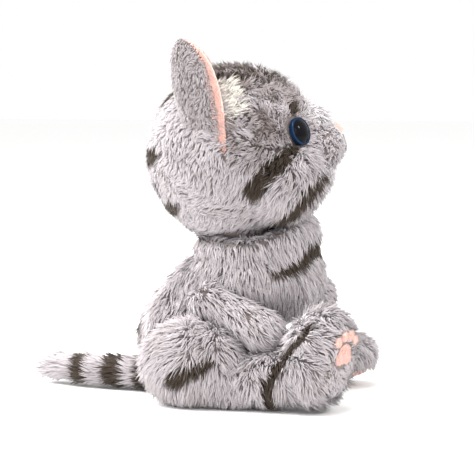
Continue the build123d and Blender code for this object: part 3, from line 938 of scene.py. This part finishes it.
class PLUSH_OT_head(bpy.types.Operator):
    """Head: a ball with cheeks, bridge, whisker pads and chin, and pile by region"""
    bl_idname = "plush.head"
    bl_label = "Head"

    def execute(self, context):
        def at(left, back, up, radii):
            return (from_head((left, back, up)), radii, HEAD_AXES)

        balls = [at(0, 1.2, -0.4, (41.5, 40.2, 40.0)), at(0, 14, -18, (26, 20, 21)),
                 at(0, -33, -1, (13, 13, 12.5)), at(0, -31, -21, (11, 9, 9)), at(0, -21, -22, (16, 13, 12.5))]
        for sign in SIDES.values():
            balls.append(at(sign * 6.2, -38, -11.5, (10.5, 10.5, 10)))
            balls.append(at(sign * 20, -14, -18, (21, 20, 18.5)))
        skin = padded_skin("head_skin", balls, smooth=10)
        self.sockets(skin)
        padded_piece(skin, "head",
                     ("head_right_panel", "head_left_panel", "head_top_gusset", "head_chin", "head_stuffing",
                      "muzzle_panel", "muzzle_stuffing"), head_marks)
        regions = {
            "crown_pile": lambda p: off_face(p) & (np.abs(in_head(p)[:, 0]) <= GUSSET_HALF),
            "right_cheek_pile": lambda p: off_face(p) & (in_head(p)[:, 0] < -GUSSET_HALF),
            "left_cheek_pile": lambda p: off_face(p) & (in_head(p)[:, 0] > GUSSET_HALF),
        }
        for index, (name, region) in enumerate(regions.items()):
            grow(name, surface(skin), "head", tabby_pile(), head_length, head_comb, lean=head_lean,
                 closeness=1.25, width=0.9, paint=head_marks, keep=region, clump=0.5, ruffle=0.5,
                 seed=20 + index)
        return {"FINISHED"}

    def sockets(self, skin):
        """Sink the skin round the eyes, so that their rims stand free."""
        points = points_of(skin)
        for eye in EYES:
            arm = points - HEAD
            reach = np.linalg.norm(arm, axis=1)
            near = 1 - smooth_step(8.0, 14.0, np.linalg.norm(points - eye, axis=1))
            drop = np.maximum(reach - SOCKET_R, 0) * near
            points -= arm / reach[:, None] * drop[:, None]
        set_points(skin, points)


class PLUSH_OT_face(bpy.types.Operator):
    """Eyes, nose, mouth and what is hidden inside: materials for the frame's own pieces"""
    bl_idname = "plush.face"
    bl_label = "Eyes, nose and mouth"

    def execute(self, context):
        finishes = {"nose": pink_velour, "mouth_stitches": mouth_thread, "pellet_bag": plain_inside,
                    "pellets": plain_inside}
        for side in SIDES:
            finishes[f"{side}_eye_rim"] = blue_gloss
            finishes[f"{side}_eye_pupil"] = black_gloss
            finishes[f"{side}_eye_washer"] = plain_inside
        for name, finish in finishes.items():
            node = frame["nodes"][name]
            node.data.materials.clear()
            node.data.materials.append(finish())
        return {"FINISHED"}


def bezier(controls, part):
    """A curve through its first and last controls, drawn to those between."""
    points = [np.asarray(control, float)[None] for control in controls]
    part = part[:, None]
    while len(points) > 1:
        points = [a * (1 - part) + b * part for a, b in zip(points, points[1:])]
    return points[0]


EAR_ROWS = 22
EAR_COLUMNS = 25
EAR_LIP = 2               # columns at the outer edge where the lining is rolled outward
EAR_BACK = 1.5            # from an ear's middle sheet to the outside of its grey back
EAR_LINING = 1.3          # from the middle sheet to the face of the pink lining
EAR_SEAM = 0.15           # from the middle sheet to the inside of either cloth


def ear_grid(sign):
    """The cupped sheet of an ear: rows from its seam to its tip, columns from its inner to its outer edge."""
    tip = (30.0, 5.0, 56.5)
    rise = np.sin(np.linspace(0, math.pi / 2, EAR_ROWS)) ** 1.15
    inner = bezier(((12.0, -3.0, 36.5), (13.0, -1.0, 46.0), (22.0, 5.0, 59.0), tip), rise)
    outer = bezier(((39.5, 4.5, 1.5), (41.0, -3.0, 22.0), (38.5, -8.0, 51.0), tip), rise)
    behind = bezier(((27.0, 16.5, 19.0), (28.5, 16.5, 36.0), (29.5, 12.0, 55.0), tip), rise)
    pull = 2 * behind - 0.5 * (inner + outer)
    across = np.linspace(0, 1, EAR_COLUMNS)[None, :, None]
    grid = (inner[:, None] * (1 - across) ** 2 + pull[:, None] * 2 * across * (1 - across)
            + outer[:, None] * across ** 2)
    return from_head(grid.reshape(-1, 3) * (sign, 1, 1)).reshape(EAR_ROWS, EAR_COLUMNS, 3)


def grid_faces(rows, columns):
    """The quads of a grid."""
    faces = []
    for row in range(rows - 1):
        for column in range(columns - 1):
            corner = row * columns + column
            faces.append((corner, corner + 1, corner + columns + 1, corner + columns))
    return faces


def grid_normals(grid):
    """Normals of a grid."""
    down = np.gradient(grid, axis=0)
    over = np.gradient(grid, axis=1)
    normals = unit(np.cross(over, down))
    normals[-1] = normals[-2]
    return normals


def shell_between(name, front, back):
    """A closed shell between two grids of the same size."""
    rows, columns = front.shape[:2]
    size = rows * columns
    edge = ([*range(columns)] + [row * columns + columns - 1 for row in range(1, rows)]
            + [size - 1 - column for column in range(1, columns)]
            + [row * columns for row in range(rows - 2, 0, -1)])
    faces = grid_faces(rows, columns)
    faces += [tuple(size + corner for corner in reversed(face)) for face in faces]
    faces += [(here, there, size + there, size + here) for here, there in zip(edge, edge[1:] + edge[:1])]
    mesh = bpy.data.meshes.new(name)
    mesh.from_pydata(np.concatenate((front.reshape(-1, 3), back.reshape(-1, 3))).tolist(), [], faces)
    made = bpy.data.objects.new(name, mesh)
    bpy.context.scene.collection.objects.link(made)
    clear_selection()
    bpy.context.view_layer.objects.active = made
    made.select_set(True)
    bpy.ops.object.mode_set(mode="EDIT")
    bpy.ops.mesh.select_all(action="SELECT")
    bpy.ops.mesh.remove_doubles(threshold=0.02)
    bpy.ops.mesh.normals_make_consistent(inside=False)
    bpy.ops.object.mode_set(mode="OBJECT")
    return made


def sheet_ground(grid, normals):
    """A grid as ground for pile."""
    faces = grid_faces(*grid.shape[:2])
    triangles = np.array([t for f in faces for t in ((f[0], f[1], f[2]), (f[0], f[2], f[3]))])
    return grid.reshape(-1, 3), triangles, normals.reshape(-1, 3)


def tuft_ground(sign):
    """The patch of the head inside an ear's front, where the long tuft grows."""
    up, back = np.meshgrid(np.linspace(17, 32, 8), np.linspace(-6, 3, 6), indexing="ij")
    left = sign * np.sqrt(38.0 ** 2 - up ** 2 - back ** 2)
    grid = from_head(np.stack((left, back, up), 2).reshape(-1, 3)).reshape(*up.shape, 3)
    return sheet_ground(grid, unit(grid - HEAD))


class PLUSH_OT_ears(bpy.types.Operator):
    """Ears: grey back and pink lining cupped together, short pile, and a long cream tuft"""
    bl_idname = "plush.ears"
    bl_label = "Ears"

    def execute(self, context):
        short = pile().short_length
        for index, (side, sign) in enumerate(SIDES.items()):
            body = f"{side}_ear"
            grid = ear_grid(sign)
            outward = grid_normals(grid)
            middle = EAR_ROWS // 2, EAR_COLUMNS // 2
            if outward[middle] @ (grid[middle] - from_head((sign * 26, -20, 30))) < 0:
                outward = -outward
            grey = slice(0, EAR_COLUMNS - EAR_LIP + 1)
            lip = slice(EAR_COLUMNS - EAR_LIP - 1, None)
            behind = (grid + outward * EAR_BACK)[:, grey]
            back = shell_between(f"{side}_ear_back_cloth", behind, (grid + outward * EAR_SEAM)[:, grey])
            sewn_piece(back, body, ground_cloth(), f"{side}_ear_back")
            rolled = np.where(np.arange(EAR_COLUMNS) >= EAR_COLUMNS - EAR_LIP, EAR_LINING, -EAR_SEAM)
            lining = shell_between(f"{side}_ear_lining_cloth", grid + outward * rolled[:, None],
                                   grid - outward * EAR_LINING)
            sewn_piece(lining, body, pink_velour(), f"{side}_ear_lining")

            grow(f"{side}_ear_back_pile", sheet_ground(behind, outward[:, grey]), body, tabby_pile(),
                 short * 1.15, steady(-HEAD_UP + HEAD_BACK * 0.3), lean=0.7, closeness=2.0, width=0.6,
                 clump=0.35, ruffle=0.55, mottle=0.45, seed=40 + index,
                 paint=lambda p: {"tone": np.full(len(p), 0.16)})
            grow(f"{side}_ear_lining_pile", sheet_ground(grid - outward * EAR_LINING, -outward), body,
                 pink_pile(), short * 0.6, steady(HEAD_UP), lean=0.5, closeness=1.8, width=0.6, clump=0.2,
                 seed=44 + index)
            grow(f"{side}_ear_lip_pile", sheet_ground((grid + outward * EAR_LINING)[:, lip], outward[:, lip]),
                 body, pink_pile(), short * 0.75, steady(-HEAD_BACK - HEAD_UP * 0.4), lean=0.6, closeness=2.4,
                 width=0.6, clump=0.2, seed=46 + index)
            grow(f"{side}_ear_tuft", tuft_ground(sign), body, cream_pile(), 8.5,
                 steady(HEAD_LEFT * sign * 0.35 - HEAD_BACK - HEAD_UP * 0.15), lean=0.6, closeness=2.6,
                 width=0.8, clump=0.5, seed=48 + index)
        return {"FINISHED"}


class PLUSH_OT_arms(bpy.types.Operator):
    """Arms: two stuffed limbs with long pile combed to the paws"""
    bl_idname = "plush.arms"
    bl_label = "Arms"

    def execute(self, context):
        for index, (side, sign) in enumerate(SIDES.items()):
            shoulder = SHOULDERS[side] + (sign * 3.0, -1, -5)
            paw = PAWS[side]
            stops = [(shoulder, 7.6), (shoulder * 0.5 + paw * 0.5, 7.4), (paw, 8.0)]
            skin = padded_skin(f"{side}_arm_skin_cloth", chain(stops), smooth=6)
            padded_piece(skin, f"{side}_arm", (f"{side}_arm_skin", f"{side}_arm_stuffing"))
            grow(f"{side}_arm_pile", surface(skin), f"{side}_arm", tabby_pile(), pile().body_length * 0.95,
                 steady(unit(paw - shoulder) - (0, 0, 0.5)), lean=0.75, mottle=0.3, seed=60 + index)
        return {"FINISHED"}


def press_flat(skin, place, outward):
    """Press a skin back to a plane."""
    points = points_of(skin)
    past = (points - place) @ outward
    points -= outward * np.maximum(past, 0)[:, None]
    set_points(skin, points)


class PLUSH_OT_legs(bpy.types.Operator):
    """Legs: thigh, ankle and foot in one padded skin, short pile on the sole, and sewn pads"""
    bl_idname = "plush.legs"
    bl_label = "Legs"

    def execute(self, context):
        for index, (side, sign) in enumerate(SIDES.items()):
            pad, sideways, upward, outward = SOLES[side]
            sole = pad - upward * SOLE_DROP
            hip = joint_place(f"{side}_leg_swing")
            axes = np.array((sideways, upward, outward))
            depth = FOOT_DEPTHS[side]
            heel = sole - outward * depth * 0.55 - upward * 9
            heel[2] = max(heel[2], 12.0)
            thigh = np.array((sign * 36.5, hip[1] - 6.5, 20.0))
            skin = padded_skin(f"{side}_leg_skin_cloth", [
                (thigh, (14.5, 23.5, 18.6)),
                (thigh - (sign * 8, 0, -1), (11, 20, 17.5)),
                (sole - outward * depth * 0.5 - upward * 1.6, (15.2, 21.3, depth * 0.64), axes),
            ] + chain([(thigh + (-sign * 1.5, -16, -9.5), 10.4), (heel, 11.0)]), smooth=7)
            press_flat(skin, sole, outward)
            sit_on_floor(skin)
            parts = ("thigh_skin", "ankle_skin", "foot_skin", "foot_sole", "leg_stuffing")
            padded_piece(skin, f"{side}_leg", [f"{side}_{part}" for part in parts], leg_marks(side))
            ground = surface(skin)

            def sole_part(points):
                return smooth_step(-5.5, -2.0, (points - sole) @ outward)

            def length(points):
                flat = sole_part(points)
                return pile().body_length * (1 - flat) + pile().short_length * 1.1 * flat

            def comb(points):
                depth = (points - sole) @ outward
                foot = smooth_step(-26, -16, depth) * smooth_step(32, 24, np.abs(points[:, 1] - sole[1]))
                foot = foot[:, None]
                thigh_out = unit((points - thigh) * (0.2, 1, 1)) * 0.35 + (0, 0.25, -0.8)
                foot_out = unit(points - sole + outward * 10) * 0.3 + outward * 0.8
                foot_out = foot_out + upward * 0.15 - (0, 0, 0.25)
                return thigh_out * (1 - foot) + foot_out * foot

            def keep(points):
                flat = points - sole
                on_sole = (flat @ outward) > -1.6
                spots = [(pad, 6.2)] + [(toe, 2.3) for toe in toe_places(side)]
                covered = np.any([np.linalg.norm(points - spot, axis=1) < reach
                                  for spot, reach in spots], axis=0)
                return ~(on_sole & covered) & (points[:, 2] > 1.3)

            grow(f"{side}_leg_pile", ground, f"{side}_leg", tabby_pile(), length, comb, lean=0.62, keep=keep,
                 paint=leg_marks(side), mottle=0.3, seed=70 + index)
            self.pads(side)
        return {"FINISHED"}

    def pads(self, side):
        """The pink pads of one sole."""
        pad, sideways, upward, outward = SOLES[side]
        axes = np.array((sideways, upward, outward))
        lobes = [(pad + upward * 1.0, (4.6, 4.4, 1.5), axes)]
        for angle in (90, 210, 330):
            turn = math.radians(angle)
            lobe = pad + sideways * math.cos(turn) * 3.3 + upward * math.sin(turn) * 2.8
            lobes.append((lobe, (3.2, 3.0, 1.4), axes))
        main = padded_skin(f"{side}_main_pad", lobes, cell=0.6, smooth=5)
        toes = padded_skin(f"{side}_toe_pads_cloth",
                           [(toe, (2.0, 2.4, 1.3), axes) for toe in toe_places(side)], cell=0.5, smooth=3)
        for piece, node in ((main, f"{side}_paw_pad"), (toes, f"{side}_toe_pads")):
            sewn_piece(piece, f"{side}_leg", pink_velour(), node)
            grow(f"{piece.name}_pile", surface(piece), f"{side}_leg", pink_pile(), 0.9, steady(-upward),
                 lean=0.5, closeness=3.0, width=0.45, clump=0.2, seed=80)


def toe_places(side):
    """The middles of the toe pads of one foot."""
    points = node_points(f"{side}_toe_pads")
    pad, sideways, upward, _ = SOLES[side]
    angles = np.arctan2((points - pad) @ upward, (points - pad) @ sideways)
    order = np.argsort(angles)
    gaps = np.flatnonzero(np.diff(angles[order]) > 0.06)
    return [points[group].mean(0) for group in np.split(order, gaps + 1)]


class PLUSH_OT_tail(bpy.types.Operator):
    """Tail: a tapered stuffed tube on the floor, pile combed to the tip"""
    bl_idname = "plush.tail"
    bl_label = "Tail"

    def execute(self, context):
        tip = inset_end("tail_stuffing", TAIL_ROOT, 4)
        middle = TAIL_ROOT + (tip - TAIL_ROOT) * (0.25, 0.5, 0.5) + (0, 0, 3.2)
        tip = tip + (0, 0, 4.0)
        stops = [(TAIL_ROOT + (0, 0, 2), 5.6), (middle, 5.0), (tip, 4.2)]
        skin = padded_skin("tail_skin_cloth", chain(stops, 1.5), cell=1.0, smooth=6)
        sit_on_floor(skin)
        padded_piece(skin, "tail", ("tail_skin", "tail_stuffing"), tail_marks)
        grow("tail_pile", surface(skin), "tail", tabby_pile(), pile().body_length, steady((0.15, 1.0, 0.0)),
             lean=0.8, closeness=1.4, paint=tail_marks, mottle=0.2, droop=0.05, seed=90)
        return {"FINISHED"}


class PLUSH_OT_stage(bpy.types.Operator):
    """Stage: pale floor, soft studio lights and the camera"""
    bl_idname = "plush.stage"
    bl_label = "Stage"

    def execute(self, context):
        clear_selection()
        bpy.ops.mesh.primitive_plane_add(size=12.0, location=(0, 0, 0))
        floor = context.object
        floor.name = "floor"
        paper = Shader("paper", Roughness=0.95, Specular_IOR_Level=0.1)
        grain = paper.noise(40.0, 2.0)
        paper.to("Base Color", paper.mix(grain, (0.965, 0.965, 0.96), (0.985, 0.985, 0.98)))
        floor.data.materials.append(paper.material)

        context.scene.view_settings.view_transform = "Standard"
        world = bpy.data.worlds.new("studio")
        context.scene.world = world
        world.use_nodes = True
        world.node_tree.nodes["Background"].inputs[0].default_value = (1.0, 1.0, 1.0, 1.0)
        world.node_tree.nodes["Background"].inputs[1].default_value = 1.0

        self.softbox("window", (-0.15, 1.0, 0.75), 0.9, 22.0, (1.0, 0.98, 0.97))
        self.softbox("top", (-0.35, 0.1, 1.3), 0.9, 16.0, (1.0, 0.99, 0.98))
        self.softbox("front", (-1.0, -0.9, 0.7), 0.8, 4.5, (1.0, 0.97, 0.94))
        self.softbox("sparkle", (-0.08, -0.92, 0.82), 0.16, 3.6, (1.0, 0.98, 0.96))

        camera_data = bpy.data.cameras.new("camera")
        camera = bpy.data.objects.new("camera", camera_data)
        context.scene.collection.objects.link(camera)
        azimuth = math.radians(-75)
        distance, height, aim_height, picture_width = 0.9, 0.150, 0.0757, 0.2257
        aim = Vector((0, HEAD[1] * MM, aim_height))
        camera.location = (aim.x + distance * math.sin(azimuth), aim.y - distance * math.cos(azimuth), height)
        camera.rotation_euler = (aim - camera.location).to_track_quat("-Z", "Y").to_euler()
        camera_data.lens = camera_data.sensor_width * (aim - camera.location).length / picture_width
        camera_data.clip_start = 0.01
        context.scene.camera = camera
        return {"FINISHED"}

    def softbox(self, name, place, size, power, colour):
        """A square soft light that looks at the cat."""
        light = bpy.data.lights.new(name, "AREA")
        light.size = size
        light.energy = power
        light.color = colour
        box = bpy.data.objects.new(name, light)
        bpy.context.scene.collection.objects.link(box)
        box.location = place
        box.rotation_euler = (Vector((0, 0, 0.08)) - box.location).to_track_quat("-Z", "Y").to_euler()


class PLUSH_PT_panel(bpy.types.Panel):
    """The pieces of the cat and its settings"""
    bl_idname = "PLUSH_PT_panel"
    bl_label = "Plush Cat"
    bl_space_type = "VIEW_3D"
    bl_region_type = "UI"
    bl_category = "Plush Cat"

    def draw(self, context):
        for kind in OPERATORS:
            self.layout.operator(kind.bl_idname)
        for group in (context.scene.plush_pile, context.scene.plush_colours):
            for name in group.__annotations__:
                self.layout.prop(group, name)


OPERATORS = (PLUSH_OT_torso, PLUSH_OT_head, PLUSH_OT_face, PLUSH_OT_ears, PLUSH_OT_arms, PLUSH_OT_legs,
             PLUSH_OT_tail, PLUSH_OT_stage)
GROUPS = (PileSettings, ColourSettings)


def register():
    """Register the settings, operators and panel."""
    for kind in (*GROUPS, *OPERATORS, PLUSH_PT_panel):
        bpy.utils.register_class(kind)
    bpy.types.Scene.plush_pile = PointerProperty(type=PileSettings)
    bpy.types.Scene.plush_colours = PointerProperty(type=ColourSettings)


def unregister():
    """Remove them again."""
    del bpy.types.Scene.plush_pile
    del bpy.types.Scene.plush_colours
    for kind in reversed((*GROUPS, *OPERATORS, PLUSH_PT_panel)):
        bpy.utils.unregister_class(kind)


def main():
    """Build every piece and the stage."""
    register()
    bpy.ops.plush.torso()
    bpy.ops.plush.head()
    bpy.ops.plush.face()
    bpy.ops.plush.ears()
    bpy.ops.plush.arms()
    bpy.ops.plush.legs()
    bpy.ops.plush.tail()
    bpy.ops.plush.stage()
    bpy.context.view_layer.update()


if __name__ == "__main__":
    main()
